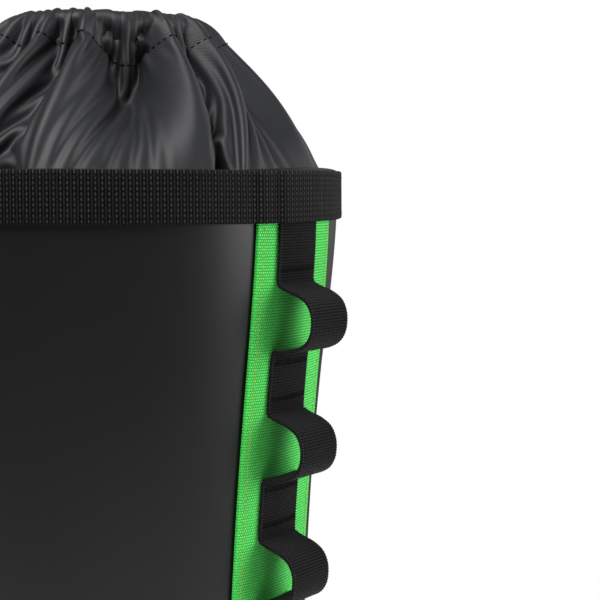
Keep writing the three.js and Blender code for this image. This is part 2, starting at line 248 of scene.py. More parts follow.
def selvedge(name, path, across, width, material, sag=None):
    """Turns of the weft round both edges of a strap."""
    across, normal = strap_frame(path, across)
    along = lengths(path)
    at = np.arange(TURN_PITCH / 2, along[-1], TURN_PITCH)
    station = np.clip(np.searchsorted(along, at), 0, len(path) - 1)
    place = along_path(path, at)
    centres = []
    for edge in (-1, 1):
        out = edge * (width / 2 - TURN_INSET * SHEET)
        drop = 0 if sag is None else sag(np.full((1, 1), out), station[:, None])
        centres.append(place + out * across[station] - drop * normal[station])
    turns = capsules(name, np.concatenate(centres), np.tile(normal[station], (2, 1)), TURN_LENGTH * SHEET,
                     TURN_RADIUS * SHEET, np.tile(across[station], (2, 1)))
    return dress(turns, material)


# rings of one stitch from end to end: share of its length from the middle, share of its radius
STITCH_RINGS = [(-0.5, 0.35), (-0.42, 0.8), (-0.2, 1), (0.2, 1), (0.42, 0.8), (0.5, 0.35)]
STITCH_SIDES = 6


def capsules(name, centres, directions, length, radius, ups=(0.0, 0.0, 1.0)):
    """Many short rounded stitches in one mesh."""
    directions = unit(np.asarray(directions, float))
    side = unit(np.cross(directions, ups) + 1e-9)
    up = unit(np.cross(side, directions))
    template = []
    for along, size in STITCH_RINGS:
        for angle in round_angles(STITCH_SIDES):
            r = size * radius
            template.append((along * length, r * math.cos(angle), r * math.sin(angle)))
    template = np.array(template)
    points = (np.asarray(centres)[:, None] + template[None, :, :1] * directions[:, None]
              + template[None, :, 1:2] * side[:, None] + template[None, :, 2:] * up[:, None])
    local, _ = grid_faces(len(STITCH_RINGS), STITCH_SIDES, closed_columns=True)
    last_ring = (len(STITCH_RINGS) - 1) * STITCH_SIDES
    faces = []
    for base in range(0, len(points) * len(template), len(template)):
        faces += [[base + k for k in face] for face in local]
        faces.append([base + k for k in range(STITCH_SIDES)][::-1])
        faces.append([base + last_ring + k for k in range(STITCH_SIDES)])
    return new_object(name, points.reshape(-1, 3), faces)


def stitch_line(path, pitch):
    """Centres and directions of stitches spaced along a path."""
    at = np.arange(pitch / 2, lengths(path)[-1], pitch)
    return along_path(path, at), along_path(path, at + pitch / 4) - along_path(path, at - pitch / 4)


def polar(radius, angle, height):
    return np.stack([radius * np.cos(angle), radius * np.sin(angle), height + 0 * radius], -1)


def on_wall(angle, height, offset):
    """Points on the bag's wall, or so far out from it, at the given angles and heights."""
    return polar(wall_radius(height) + offset, angle, height)


def round_angles(count):
    return np.linspace(0, 2 * math.pi, count, endpoint=False)


# ---- materials ----


class Shader:
    """Small helper that adds and links nodes of one material."""

    def __init__(self, name):
        self.material = bpy.data.materials.new(name)
        self.material.use_nodes = True
        self.nodes = self.material.node_tree.nodes
        self.links = self.material.node_tree.links
        self.surface = self.nodes["Principled BSDF"]

    def feed(self, value, socket):
        if isinstance(value, bpy.types.NodeSocket):
            self.links.new(value, socket)
        else:
            socket.default_value = value

    def add(self, kind, inputs, **values):
        """Adds a node. inputs gives a value or a socket for each of its inputs, by name or number."""
        node = self.nodes.new(kind)
        for key, value in values.items():
            setattr(node, key, value)
        for key, value in inputs.items():
            self.feed(value, node.inputs[key])
        return node.outputs

    def math(self, operation, a, b=0.0):
        return self.add("ShaderNodeMath", {0: a, 1: b}, operation=operation)[0]

    def times(self, a, b):
        return self.math("MULTIPLY", a, b)

    def cloth_axes(self):
        cloth = self.add("ShaderNodeUVMap", {}, uv_map="cloth")
        return self.add("ShaderNodeSeparateXYZ", {0: cloth[0]})[:2]

    def noise(self, scale, detail=3.0, stretch=None):
        place = self.add("ShaderNodeTexCoord", {})["Object"]
        if stretch is not None:
            place = self.add("ShaderNodeMapping", {0: place, "Scale": stretch})[0]
        return self.add("ShaderNodeTexNoise", {"Scale": scale, "Detail": detail, "Vector": place})[0]

    def hump(self, value):
        """One half wave of a sine for each whole step of a value."""
        return self.math("SINE", self.times(self.math("FRACT", value), math.pi))

    def blend(self, share, a, b):
        return self.add("ShaderNodeMix", {0: share, 6: (*a, 1), 7: (*b, 1)}, data_type="RGBA")[2]

    def span(self, value, low, high):
        return self.add("ShaderNodeMapRange", {0: value, 3: low, 4: high})[0]

    def bump(self, height, distance, strength=1.0, under=None):
        inputs = {"Strength": strength, "Distance": distance, "Height": height}
        if under is not None:
            inputs["Normal"] = under
        return self.add("ShaderNodeBump", inputs)[0]

    def finish(self, colour, roughness, normal, **plain):
        self.feed(colour, self.surface.inputs["Base Color"])
        self.feed(roughness, self.surface.inputs["Roughness"])
        if normal is not None:
            self.links.new(normal, self.surface.inputs["Normal"])
        for key, value in plain.items():
            self.surface.inputs[key.replace("_", " ")].default_value = value
        return self.material


def woven(shader, across_pitch, along_pitch):
    """Height of a plain weave of rounded picks, every second row set off by half a pick."""
    across, along = shader.cloth_axes()
    rows = shader.math("DIVIDE", along, along_pitch)
    row = shader.math("FLOOR", rows)
    parity = shader.times(shader.math("FLOORED_MODULO", row, 2.0), 0.5)
    picks = shader.math("ADD", shader.math("DIVIDE", across, across_pitch), parity)
    row_wave, pick_wave = shader.hump(rows), shader.hump(picks)
    return shader.times(shader.math("POWER", row_wave, 0.6), shader.math("POWER", pick_wave, 0.6))


def dashed_ribs(shader, rib_pitch, dash_pitch):
    """Height of narrow ribs across the webbing, every second one broken into dashes."""
    across, along = shader.cloth_axes()
    ribs = shader.math("DIVIDE", along, rib_pitch)
    plain = shader.math("FLOORED_MODULO", shader.math("FLOOR", ribs), 2.0)
    rib = shader.math("POWER", shader.hump(ribs), 2.5)
    dash = shader.math("POWER", shader.hump(shader.math("DIVIDE", across, dash_pitch)), 1.2)
    level = shader.math("ADD", shader.times(plain, 0.42),
                        shader.times(shader.math("SUBTRACT", 1.0, plain), dash))
    return shader.times(rib, level)


def ribbed(shader, pitch):
    """Height of fine diagonal ribs broken into picks."""
    across, along = shader.cloth_axes()
    slant = shader.math("ADD", across, along)
    rib = shader.math("ABSOLUTE", shader.math("SINE", shader.times(slant, math.pi / pitch)))
    pick = shader.math("ABSOLUTE", shader.math("SINE", shader.times(along, 2 * math.pi / pitch)))
    return shader.math("ADD", shader.times(rib, 0.75), shader.times(pick, 0.25))


def webbing_material(name, dark, light, pitches, roughness, gloss, relief, crown, weave=woven, least_crown_highlight=0.8):
    """Woven webbing: painted shade between the picks and painted highlights on their crowns. A low value of
    the last argument makes the painted crown highlights patchy.
    pitches are the weave's two pitches, in the order in which it takes them."""
    shader = Shader(name)
    height = weave(shader, *pitches)
    fuzz = shader.noise(900, 4)
    drift = shader.noise(28, 2)
    # share of the light colour: a painted highlight on the picks' crowns, painted shade between them
    share = shader.math("POWER", height, crown)
    share = shader.times(share, shader.span(drift, least_crown_highlight, 1.15))
    share = shader.math("ADD", share, shader.span(fuzz, -0.12, 0.12))
    normal = shader.bump(height, relief * MM)
    normal = shader.bump(fuzz, 0.05 * MM, 0.6, normal)
    rough = shader.span(fuzz, roughness - 0.08, roughness + 0.1)
    return shader.finish(shader.blend(share, dark, light), rough, normal,
                         Sheen_Weight=0.03, Sheen_Roughness=0.5, Specular_IOR_Level=gloss)


def grained_material(name, dark, light, patches, rough, grains, **plain):
    """Drifts between two colours, with one or more grains as its relief. patches is a noise's scale, detail
    and stretch. A grain is its depth in mm, its strength and the same for its noise."""
    shader = Shader(name)
    drift = shader.noise(*patches)
    normal = None
    for depth, strength, *noise in grains:
        normal = shader.bump(shader.noise(*noise), depth * MM, strength, normal)
    return shader.finish(shader.blend(drift, dark, light), shader.span(drift, *rough), normal, **plain)


def yarn_turns(name, dark, light):
    return grained_material(name, dark, light, (1100, 4), (0.57, 0.75), [(0.08, 0.7, 1100, 4)],
                            Specular_IOR_Level=0.25)


def thread(name, dark, light):
    return grained_material(name, dark, light, (1800, 2), (0.45, 0.65), [(0.05, 1.0, 1800, 2)],
                            Specular_IOR_Level=0.15)


def nylon_material(name, colour=(0.0125, 0.0132, 0.0152), pitch=1.0 * MM, relief=0.09):
    shader = Shader(name)
    weave = ribbed(shader, pitch)
    crush = shader.noise(95, 4)
    haze = shader.noise(24, 2)
    normal = shader.bump(weave, relief * MM, 0.8)
    normal = shader.bump(crush, 0.35 * MM, 0.3, normal)
    # lighter on the weave's crowns and darker in its grooves: painted highlight and painted shade, varied by
    # a random haze
    share = shader.math("ADD", shader.times(weave, 0.6), shader.times(haze, 0.4))
    darker, lighter = tuple(c * 0.5 for c in colour), tuple(c * 1.6 for c in colour)
    rough = shader.span(crush, 0.42, 0.54)
    return shader.finish(shader.blend(share, darker, lighter), rough, normal,
                         Sheen_Weight=0.05, Sheen_Roughness=0.35, Specular_IOR_Level=0.42)


def braid_material(name):
    shader = Shader(name)
    height = woven(shader, 1.3 * MM, 0.9 * MM)
    fuzz = shader.noise(1200, 3)
    normal = shader.bump(fuzz, 0.04 * MM, 0.5, shader.bump(height, 0.25 * MM))
    # lighter on the braid's crowns and darker between them: painted highlight and painted shade
    return shader.finish(shader.blend(height, (0.006, 0.006, 0.006), (0.035, 0.035, 0.037)),
                         shader.span(fuzz, 0.6, 0.8), normal, Sheen_Weight=0.2)


# webbing colours: their dark colour is painted shade between the picks, their light colour a painted
# highlight on the crowns
GREEN = webbing_material("green webbing", (0.007, 0.32, 0.028), (0.17, 1.0, 0.19), (1.0 * MM, 1.12 * MM),
                         roughness=0.7, gloss=0.15, relief=0.3, crown=1.2)
BLACK = webbing_material("black webbing", (0.0002, 0.0002, 0.0002), (0.028, 0.028, 0.029),
                         (1.15 * MM, 1.12 * MM), roughness=0.65, gloss=0.06, relief=0.35, crown=4.5)
RIBBED = webbing_material("ribbed rim webbing", (0.0003, 0.0003, 0.0003), (0.065, 0.065, 0.067),
                          (1.25 * MM, 2.0 * MM), roughness=0.65, gloss=0.06, relief=0.25, crown=1.3,
                          weave=dashed_ribs, least_crown_highlight=0.4)
GREEN_TURNS = yarn_turns("green yarn turns", (0.03, 0.5, 0.06), (0.12, 0.95, 0.14))
BLACK_TURNS = yarn_turns("black yarn turns", (0.001, 0.001, 0.001), (0.009, 0.009, 0.009))
TARPAULIN = grained_material("black tarpaulin", (0.0075, 0.0078, 0.008), (0.010875, 0.01131, 0.0116),
                             (9, 3, (1, 1, 0.5)), (0.31, 0.44), [(0.02, 0.5, 1500, 2), (0.05, 0.35, 260, 3)],
                             Specular_IOR_Level=0.3)
NYLON = nylon_material("skirt nylon")
CORDURA = nylon_material("coarse back nylon", (0.009, 0.009, 0.0095), pitch=1.5 * MM, relief=0.2)
BLACK_THREAD = thread("black thread", (0.0008, 0.0008, 0.0008), (0.005, 0.005, 0.005))
OLIVE_THREAD = thread("yellow olive thread", (0.36, 0.4, 0.05), (0.55, 0.6, 0.12))
BRAID = braid_material("cord braid")
PLASTIC = grained_material("black plastic", (0.012, 0.012, 0.013), (0.0216, 0.0216, 0.0234), (60, 3),
                           (0.34, 0.5), [(0.03, 0.6, 1400, 3)])
STEEL = grained_material("brushed steel", (0.32, 0.32, 0.33), (0.5, 0.5, 0.51), (400, 2, (1, 1, 8)),
                         (0.22, 0.38), [(0.02, 0.4, 400, 2, (1, 1, 8))], Metallic=1.0)


def dress(obj, material, body="bag", replaces=()):
    """Material and body of a piece, and the CAD nodes that it stands for."""
    obj.data.materials.clear()
    obj.data.materials.append(material)
    if body is not None:
        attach(obj, body)
    if replaces:
        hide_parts(*replaces)
    return obj


def sew(name, lines, pitch, length, radius, material=BLACK_THREAD, outward=None):
    """Stitches along lines. outward gives the direction off the cloth from their centres."""
    centres, directions = map(np.concatenate, zip(*(stitch_line(line, pitch) for line in lines)))
    ups = (0.0, 0.0, 1.0) if outward is None else outward(centres)
    return dress(capsules(name, centres, directions, length, radius, ups), material)


def wall_sag(radii, hug=None):
    """How far webbing on the round wall drops beside its middle. hug is its share where it stands off."""
    def sag(across, station):
        drop = radii[station] - np.sqrt(radii[station]**2 - across**2)
        return drop if hug is None else hug[station] * drop

    return sag


# ---- body ----

WALL_COLUMNS = 240
WALL_ROWS = 120
WALL_END = 0.5 * MM
# how far the wall's edge stands above the rim webbing near each side strip, the height that it rises
# over, and the turn from the strip's middle
EDGE_PROUD = 1.8 * MM
EDGE_RISE = 8 * MM
EDGE_TURN = 0.15
# no buckles this far below the wall's top, then the lengths they fade in over, there and at the foot
CALM_TOP, FADE_TOP, FADE_FOOT = 22 * MM, 60 * MM, 50 * MM
BAND_STEPS = 360
BAND_RADIUS = 100 * MM
# width of the step where the rim webbing climbs onto a strip, and about the turn of a daisy chain's middle
STEP_WIDTH = 2.5 * MM
DAISY_TURN = 0.03
# stitches: how far they stand proud, and their pitch round the bag
THREAD_PROUD = 0.1 * MM
RING_PITCH = 3.6 * MM


def wall_dents(angle, height):
    """Shallow buckles of the coated fabric, none at the rim and the foot."""
    hold = np.clip((RIM_TOP - CALM_TOP - height) / FADE_TOP, 0, 1) * np.clip(height / FADE_FOOT, 0, 1)
    broad = np.sin(2 * angle + 9 * height + 0.6) + 0.6 * np.sin(3 * angle - 14 * height + 2.1)
    fine = 0.35 * np.sin(5 * angle + 31 * height) + 0.25 * np.sin(7 * angle - 45 * height + 1.3)
    return hold * (0.9 * broad + 0.6 * fine - 1.2) * 0.5 * MM


def body_wall():
    angle = round_angles(WALL_COLUMNS)
    a, h = np.meshgrid(angle, np.linspace(WALL_END, RIM_TOP - WALL_END, WALL_ROWS))
    outer = on_wall(a, h, wall_dents(a, h))
    inner = on_wall(a, h, wall_dents(a, h) - WALL_THICKNESS)
    proud = np.clip((h - RIM_TOP + EDGE_RISE) / EDGE_RISE, 0, 1) * EDGE_PROUD * np.cos(a - EDGE_TURN) ** 12
    outer[..., 2] += proud
    inner[..., 2] += proud
    rings = np.concatenate([outer, inner[::-1]])
    along = lengths(rings[:, 0])
    around = np.append(angle, 2 * math.pi) * BAND_RADIUS
    wall = grid_object("bag_wall", rings, np.append(along, along[-1] + WALL_THICKNESS), around,
                       closed_rows=True, closed_columns=True)
    return dress(wall, TARPAULIN, replaces=["body_wall"])


def over_layers(angle):
    """How far the rim webbing stands off where it passes over the side webbing and the daisy chain."""
    lift = 0 * angle
    for centre, width in ((0, SIDE_WIDTH), (math.pi, SIDE_WIDTH), (-DAISY_TURN, DAISY_WIDTH),
                          (math.pi + DAISY_TURN, DAISY_WIDTH)):
        away = np.abs((angle - centre + math.pi) % (2 * math.pi) - math.pi) * BAND_RADIUS
        lift = lift + (SHEET + GAP) * np.clip((width / 2 + STEP_WIDTH - away) / STEP_WIDTH, 0, 1)
    return lift


def wall_band(name, low, high, thickness, material, node, over_strips=False):
    """Webbing round the bag, its weave running round. Over the strips it ripples and stands off."""
    angle = round_angles(BAND_STEPS)
    wave = 0.12 * MM * (np.sin(5 * angle) + 0.7 * np.sin(11 * angle + 1)) if over_strips else 0 * angle
    lift = over_layers(angle) if over_strips else 0
    path = on_wall(angle, (low + high) / 2 + wave, GAP + thickness / 2 + lift)
    slope = (wall_radius(high) - wall_radius(low)) / (high - low)
    across = np.stack([slope * np.cos(angle), slope * np.sin(angle), np.ones(BAND_STEPS)], 1)
    band = strap(name, path, -across, high - low, thickness, 7, closed=True)
    return dress(band, material, replaces=[node])


def ring_stitches(name, levels, offset, length, radius):
    angle = np.linspace(0, 2 * math.pi, 720)
    lines = [on_wall(angle, level + 0 * angle, offset) for level in levels]
    return sew(name, lines, RING_PITCH, length, radius)


def rim_and_foot():
    wall_band("rim_webbing", BAND_LOW, BAND_HIGH, RIM_WEBBING, RIBBED, "rim_band", over_strips=True)
    wall_band("foot_webbing", FOOT_LOW, FOOT_HIGH, SHEET, BLACK, "base_band")
    ring_stitches("rim_stitches", [BAND_LOW + 2.6 * MM, BAND_HIGH - 2.6 * MM],
                  GAP + RIM_WEBBING + THREAD_PROUD, 2.4 * MM, 0.22 * MM)
    ring_stitches("foot_stitches", [FOOT_HIGH - 3 * MM], GAP + SHEET + THREAD_PROUD, 2.6 * MM, 0.3 * MM)


# ---- side webbing and daisy chains ----

SIDES = {"right": 0.0, "left": math.pi}
UNDER_RIM = 8 * MM
SIDE_SEAM_INSET = 2.9 * MM
# heights of the daisy chain's flat runs above its first loop and below its last
DAISY_LAID_TOP, DAISY_LAID_FOOT = 370 * MM, 50 * MM
# bar tacks: heights from each loop's middle, half their row, the pitch and the slant of their zigzag
TACK_HEIGHTS = (20.5 * MM, -17 * MM)
TACK_REACH, TACK_PITCH, TACK_SLANT = 10.5, 0.75, 0.18


def turned_about_z(points, angle):
    c, s = math.cos(angle), math.sin(angle)
    return np.stack([c * points[..., 0] - s * points[..., 1], s * points[..., 0] + c * points[..., 1],
                     points[..., 2]], -1)


def wall_line(turn, height, offset, angle=0.0):
    """Points up the wall at a turn round the bag and, where given, an angle beside it."""
    return turned_about_z(on_wall(angle + 0 * height, height, offset), turn)


def side_webbing(side, turn):
    height = np.arange(STRIP_LOW, STRIP_HIGH + UNDER_RIM, 1.5 * MM)
    path = wall_line(turn, height, GAP + SHEET / 2)
    sag = wall_sag(wall_radius(height))
    across = turned_about_z(np.array([0.0, 1.0, 0.0]), turn)
    piece = strap(f"green_strip_{side}", path, across, SIDE_WIDTH, SHEET, 33, sag)
    dress(piece, GREEN, replaces=[f"side_webbing_{side}"])
    selvedge(f"green_selvedge_{side}", path, across, SIDE_WIDTH, GREEN_TURNS, sag)
    height = np.linspace(STRIP_LOW + 2 * MM, STRIP_HIGH - MM, 200)
    reach = (SIDE_WIDTH / 2 - SIDE_SEAM_INSET) / (wall_radius(height) + SHEET)
    lines = [wall_line(turn, height, GAP + SHEET + 0.02 * MM, edge * reach) for edge in (-1, 1)]
    sew(f"side_stitches_{side}", lines, 3.4 * MM, 2.7 * MM, 0.15 * MM, OLIVE_THREAD)


def loop_middles():
    return [DAISY_FIRST_LOOP - loop * DAISY_PITCH for loop in range(DAISY_LOOPS)]


def daisy_path():
    """Centreline of a daisy chain at +X, and how closely each point hugs the round wall."""
    points, hug = [], []

    def lay(height):
        points.append((wall_radius(height) + DAISY_SEAM, 0, height))
        hug.append(1.0)

    lay(STRIP_HIGH + UNDER_RIM)
    lay(DAISY_LAID_TOP)
    for middle in loop_middles():
        for lift, rise in DAISY_LOOP:
            height = middle + rise * MM
            share = lift * MM / DAISY_LIFT
            base = (1 - share) * wall_radius(height) + share * wall_radius(middle)
            points.append((base + DAISY_SEAM + lift * MM, 0, height))
            hug.append(max(0.0, 1 - 6 * share))
    lay(DAISY_LAID_FOOT)
    lay(STRIP_LOW)
    coarse = np.array(points)
    fine = smooth_path(coarse, 0.9 * MM)
    along, stations = lengths(fine), lengths(coarse)
    return fine, np.interp(along, stations * along[-1] / stations[-1], hug)


def daisy_chain(side, turn):
    path, hug = daisy_path()
    path = turned_about_z(path, turn)
    sag = wall_sag(wall_radius(path[:, 2]) + DAISY_SEAM, hug)
    across = turned_about_z(np.array([0.0, -1.0, 0.0]), turn)
    chain = strap(f"daisy_webbing_{side}", path, across, DAISY_WIDTH, SHEET, 17, sag)
    dress(chain, BLACK, replaces=[f"daisy_chain_{side}"])
    selvedge(f"daisy_selvedge_{side}", path, across, DAISY_WIDTH, BLACK_TURNS, sag)
    bar_tacks(side, turn)


def bar_tacks(side, turn):
    """Dense zigzag rows that hold the daisy chain at the top and bottom of each sewn stretch."""
    centres, directions = [], []
    for height in [middle + rise for middle in loop_middles() for rise in TACK_HEIGHTS]:
        for k, sideways in enumerate(np.arange(-TACK_REACH, TACK_REACH + 0.1, TACK_PITCH) * MM):
            angle = sideways / (wall_radius(height) + DAISY_SEAM)
            centres.append(on_wall(angle, height, DAISY_SEAM + SHEET / 2 + 0.05 * MM))
            directions.append((0, TACK_SLANT * (-1) ** k, 1))
    centres = turned_about_z(np.array(centres), turn)
    directions = turned_about_z(np.array(directions, float), turn)
    outward = turned_about_z(np.broadcast_to([1.0, 0, 0], centres.shape), turn)
    tacks = capsules(f"bar_tacks_{side}", centres, directions, 2.2 * MM, 0.2 * MM, outward)
    return dress(tacks, BLACK_THREAD)


# ---- back: patch, carry handle and haul loop ----

BACK = math.pi / 2
PATCH_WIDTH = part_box("back_patch")[1].x * 2
PATCH_SEAMS = (3 * MM, 6.5 * MM)
TAB_SEAM = 3 * GAP + 2.5 * SHEET + 0.85 * MM
TAB_THICKNESS = 1.6 * MM
# box of stitches on a handle tab: half its width, half its height
TAB_BOX = (9.5 * MM, 12 * MM)
SEAM_PITCH, SEAM_RADIUS = 3.4 * MM, 0.24 * MM
HANDLE_WIDTH = 25 * MM
# distance off the sewn line, height: flat on each tab and bowed out between them, in mm
HANDLE_PATH = [
    (0, 331), (0, 300), (2, 290), (9, 278), (18, 264), (24, 248), (26.5, 232), (27, 220), (26.5, 208),
    (24, 192), (18, 176), (9, 162), (2, 150), (0, 140), (0, 109),
]
# padded sleeve: half its width and depth, its girth, what its ends lose, its ripples, its seam's place
GRIP_HALF_WIDTH, GRIP_HALF_DEPTH, GRIP_GIRTH = 17 * MM, 5.2 * MM, 88 * MM
GRIP_END_LOSS, GRIP_RIPPLES, GRIP_RIPPLE = 0.28, 7, 0.035
GRIP_SEAM_SIDE, GRIP_SEAM_LIFT = 14.6 * MM, 3.5 * MM
# the haul loop: up the tab, over the fold, down, up and into the fold again: distance back, height, in mm
HAUL_PATH = [
    (100.9, 353.5), (101.7, 362), (102.2, 370), (102.5, 373.4), (103.7, 375), (105, 374), (105.4, 371),
    (105.4, 360), (105.3, 340), (105.3, 322), (106, 313), (108.6, 309), (112.2, 310.6), (114.2, 317),
    (114.4, 328), (112.6, 345), (109.6, 360), (107.8, 368.5), (107, 371.8),
]
HAUL_TAB, HAUL_THICKNESS = 0.7 * MM, 1.3 * MM
# heights and half width of its bar tacks
HAUL_TACKS, HAUL_TACK_REACH = (356.5 * MM, 360.5 * MM, 364.5 * MM), 10 * MM
# the tie loop inside at the foot: distance back, height, in mm
TIE_PATH = [
    (-79.2, 8), (-71, 8.6), (-63, 11.4), (-58.6, 16), (-57.8, 21), (-61, 27), (-69, 30), (-79.2, 30.6),
]


def back_strip(name, low, high, offset, width, thickness, material, node):
    """Strip or patch sewn on the back of the wall between two heights, its weave running up."""
    height = np.linspace(low, high, max(3, int((high - low) / (1.6 * MM))))
    path = wall_line(BACK, height, offset + thickness / 2)
    across = turned_about_z(np.array([0.0, 1.0, 0.0]), BACK)
    piece = strap(name, path, across, width, thickness, 25, wall_sag(wall_radius(height)))
    return dress(piece, material, replaces=[node])


def back_tab(name, node, thickness):
    low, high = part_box(node)
    back_strip(name, low.z, high.z, 2 * GAP + SHEET, high.x - low.x, thickness, BLACK, node)
    return low.z, high.z


def seam_rows(name, rows, offset, pitch=SEAM_PITCH):
    """Stitches along straight rows at the back. A row is its two ends, each (sideways, height)."""
    t = np.linspace(0, 1, 40)
    lines = []
    for row in rows:
        side, height = (start + (end - start) * t for start, end in zip(*row))
        lines.append(wall_line(BACK, height, offset, side / (wall_radius(height) + offset)))
    return sew(name, lines, pitch, 0.74 * pitch, SEAM_RADIUS, outward=lambda centres: centres * [1, 1, 0])


def box_cross(half, low, high):
    """Rows of a box of stitches with a cross in it."""
    corners = [(-half, low), (half, low), (half, high), (-half, high)]
    rows = [(corners[k], corners[(k + 1) % 4]) for k in range(4)]
    return rows + [(corners[0], corners[2]), (corners[1], corners[3])]


def back_patch():
    back_strip("back_panel", STRIP_LOW, STRIP_HIGH, GAP, PATCH_WIDTH, SHEET, CORDURA,
               "back_patch")
    sides = [edge * (PATCH_WIDTH / 2 - inset) for inset in PATCH_SEAMS for edge in (-1, 1)]
    rows = [((side, STRIP_LOW + MM), (side, STRIP_HIGH - MM)) for side in sides]
    seam_rows("back_panel_stitches", rows, GAP + SHEET + 0.05 * MM)


def back_path(points):
    return np.array([(0, y * MM, z * MM) for y, z in points])


def carry_handle():
    half, reach = TAB_BOX
    for which in ("upper", "lower"):
        low, high = back_tab(f"handle_base_{which}", f"handle_tab_{which}", TAB_THICKNESS)
        middle = (low + high) / 2
        seam_rows(f"handle_box_stitches_{which}", box_cross(half, middle - reach, middle + reach),
                  TAB_SEAM + SHEET / 2 + THREAD_PROUD, 2.8 * MM)
    coarse = [(wall_radius(z * MM) / MM + TAB_SEAM / MM + lift, z) for lift, z in HANDLE_PATH]
    path = smooth_path(back_path(coarse), 1.2 * MM)
    handle = strap("handle_webbing", path, (-1, 0, 0), HANDLE_WIDTH, SHEET, 13)
    dress(handle, BLACK, replaces=["carry_handle"])
    selvedge("handle_selvedge", path, (-1, 0, 0), HANDLE_WIDTH, BLACK_TURNS)
    handle_grip(path)


def oblong(angle, half_width, half_depth, width_power, depth_power):
    """Offsets across and out of a rounded oblong section. The lower the powers, the squarer it is."""
    cosine, sine = np.cos(angle), np.sin(angle)
    return (np.sign(cosine) * np.abs(cosine) ** width_power * half_width,
            np.sign(sine) * np.abs(sine) ** depth_power * half_depth)


def handle_grip(path):
    """Padded sleeve: a rounded, crowned section round the webbing, drawn in at both ends."""
    low, high = heights("handle_grip")
    covered = path[(path[:, 2] > low + MM) & (path[:, 2] < high - MM)]
    across, normal = strap_frame(covered, (-1, 0, 0))
    t = np.linspace(0, 1, len(covered))[:, None]
    full = 1 - GRIP_END_LOSS * np.abs(2 * t - 1) ** 6
    ripple = 1 + GRIP_RIPPLE * np.sin(2 * math.pi * GRIP_RIPPLES * t) * (1 - np.abs(2 * t - 1) ** 4)
    angle = round_angles(40)
    wide, deep = oblong(angle, GRIP_HALF_WIDTH, GRIP_HALF_DEPTH, 0.7, 0.85)
    skin = sweep(covered, across, normal, full * wide, full * ripple * deep)
    wide, deep = oblong(angle, HANDLE_WIDTH / 2 + 0.5 * MM, SHEET / 2 + 0.4 * MM, 0.4, 0.4)
    lining = sweep(covered, across, normal, wide[None, :], deep[None, :])
    rings = np.concatenate([skin, lining[::-1]])
    along = lengths(rings[:, 0])
    grip = grid_object("grip_sleeve", rings, np.append(along, along[-1] + 4 * MM),
                       np.linspace(0, GRIP_GIRTH, len(angle) + 1), closed_rows=True, closed_columns=True)
    dress(grip, CORDURA, replaces=["handle_grip"])
    lift = normal * 0.2 * MM + normal * GRIP_SEAM_LIFT * full
    lines = [(covered + lift + across * edge * GRIP_SEAM_SIDE * full)[4:-4] for edge in (-1, 1)]
    sew("grip_stitches", lines, 3.2 * MM, 2.4 * MM, 0.26 * MM,
        outward=lambda centres: (0.0, 1.0, 0.0))


def haul_loop():
    back_tab("haul_base", "haul_loop_tab", HAUL_TAB)
    path = smooth_path(back_path(HAUL_PATH), 0.8 * MM)
    loop = strap("haul_webbing", path, (1, 0, 0), 25 * MM, HAUL_THICKNESS, 13)
    dress(loop, BLACK, body=None, replaces=["haul_loop"])
    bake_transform(loop)
    rows = [((-HAUL_TACK_REACH, z), (HAUL_TACK_REACH, z)) for z in HAUL_TACKS]
    seam_rows("haul_bar_tacks", rows, 2 * GAP + SHEET + 2.2 * MM, 1.1 * MM)


def inner_tie_loop():
    """Loop inside at the foot for the rope's end, sewn to the wall."""
    loop = strap("tie_loop", smooth_path(back_path(TIE_PATH), MM), (1, 0, 0), 20 * MM, SHEET, 11)
    dress(loop, BLACK, replaces=["inner_tie_loop"])


# ---- gathered skirt ----

# Pleats round the skirt, each from its ridge to the next one: the ridge's angle at the hem and at the rim,
# how far the valley's stitches drop in mm, where the valley lies between the ridges, and the number of
# small gathers in the hem.
PLEATS = [
    (-60, -66, 18, 0.52, 2), (-16, -24, 12, 0.4, 2), (6, -15, 5, 0.6, 2), (36, 18, 5, 0.5, 3),
    (62, 46, 6, 0.45, 2), (84, 72, 5, 0.5, 3), (106, 98, 8, 0.6, 2), (130, 125, 5, 0.5, 3),
    (154, 151, 7, 0.4, 3), (178, 178, 6, 0.5, 2), (204, 206, 9, 0.55, 4), (230, 232, 5, 0.5, 3),
    (256, 256, 7, 0.45, 3), (280, 276, 6, 0.5, 2),
]
RIM_RADIUS = 95.0 * MM
SKIRT_DROP = 73 * MM
LEAST_PLEAT = 36 * MM
# depth of the small gathers, and the share of the drop where they start
FINE_DEPTH = 5.6 * MM
GATHERS_FROM = 0.76
# share of the spare cloth that goes into a pleat's depth, and what the hem takes off it
PLEAT_FULLNESS, HEM_FLATTENING = 0.88, 0.72
SKIRT_ROWS = 29
HEM_ROWS = 7
SKIRT_COLUMNS = 392
SOLVER_STEPS, QUICK_STEPS = 240, 40
# springs: stiffness on the bias, over two columns and over two rows, and its share when pressed together
BIAS, BEND_ACROSS, BEND_DOWN, SLACK = 0.35, 0.2, 0.15, 0.35
# pull back to the first shape: in the skirt and in the hem
SKIRT_PULL, HEM_PULL = 0.006, 0.10
# speed kept at each step, and the push outward and up that lets the folds fill out
DAMPING, PUFF, PUFF_RISE = 0.92, 0.002 * MM, 0.35
CLOTH_HALF = 0.35 * MM
# drawcord: its ring in the channel, its exit and the lock's place down the slope, in mm as in the CAD
CORD_DIAMETER = 3.6
CORD_RING = 38.5
CORD_HEIGHT = 461
CORD_SPACING = 4.2
CORD_BEND = 7.2
CORD_EXIT_ANGLE = math.radians(135)
SLOPE_ANGLE = math.radians(47.7)
SLOPE_START = (56, 451.7)
LOCK_ALONG, LOCK_HALF, LOCK_LIFT, TAB_START, TAB_DEPTH = 14, 6, 9.6, 36, 8.7
# what the hem keeps from the cord's middle, and how many of its rows lie beside the cord
CORD_CLEARANCE = 3.3 * MM
ROWS_BESIDE_CORD = 4
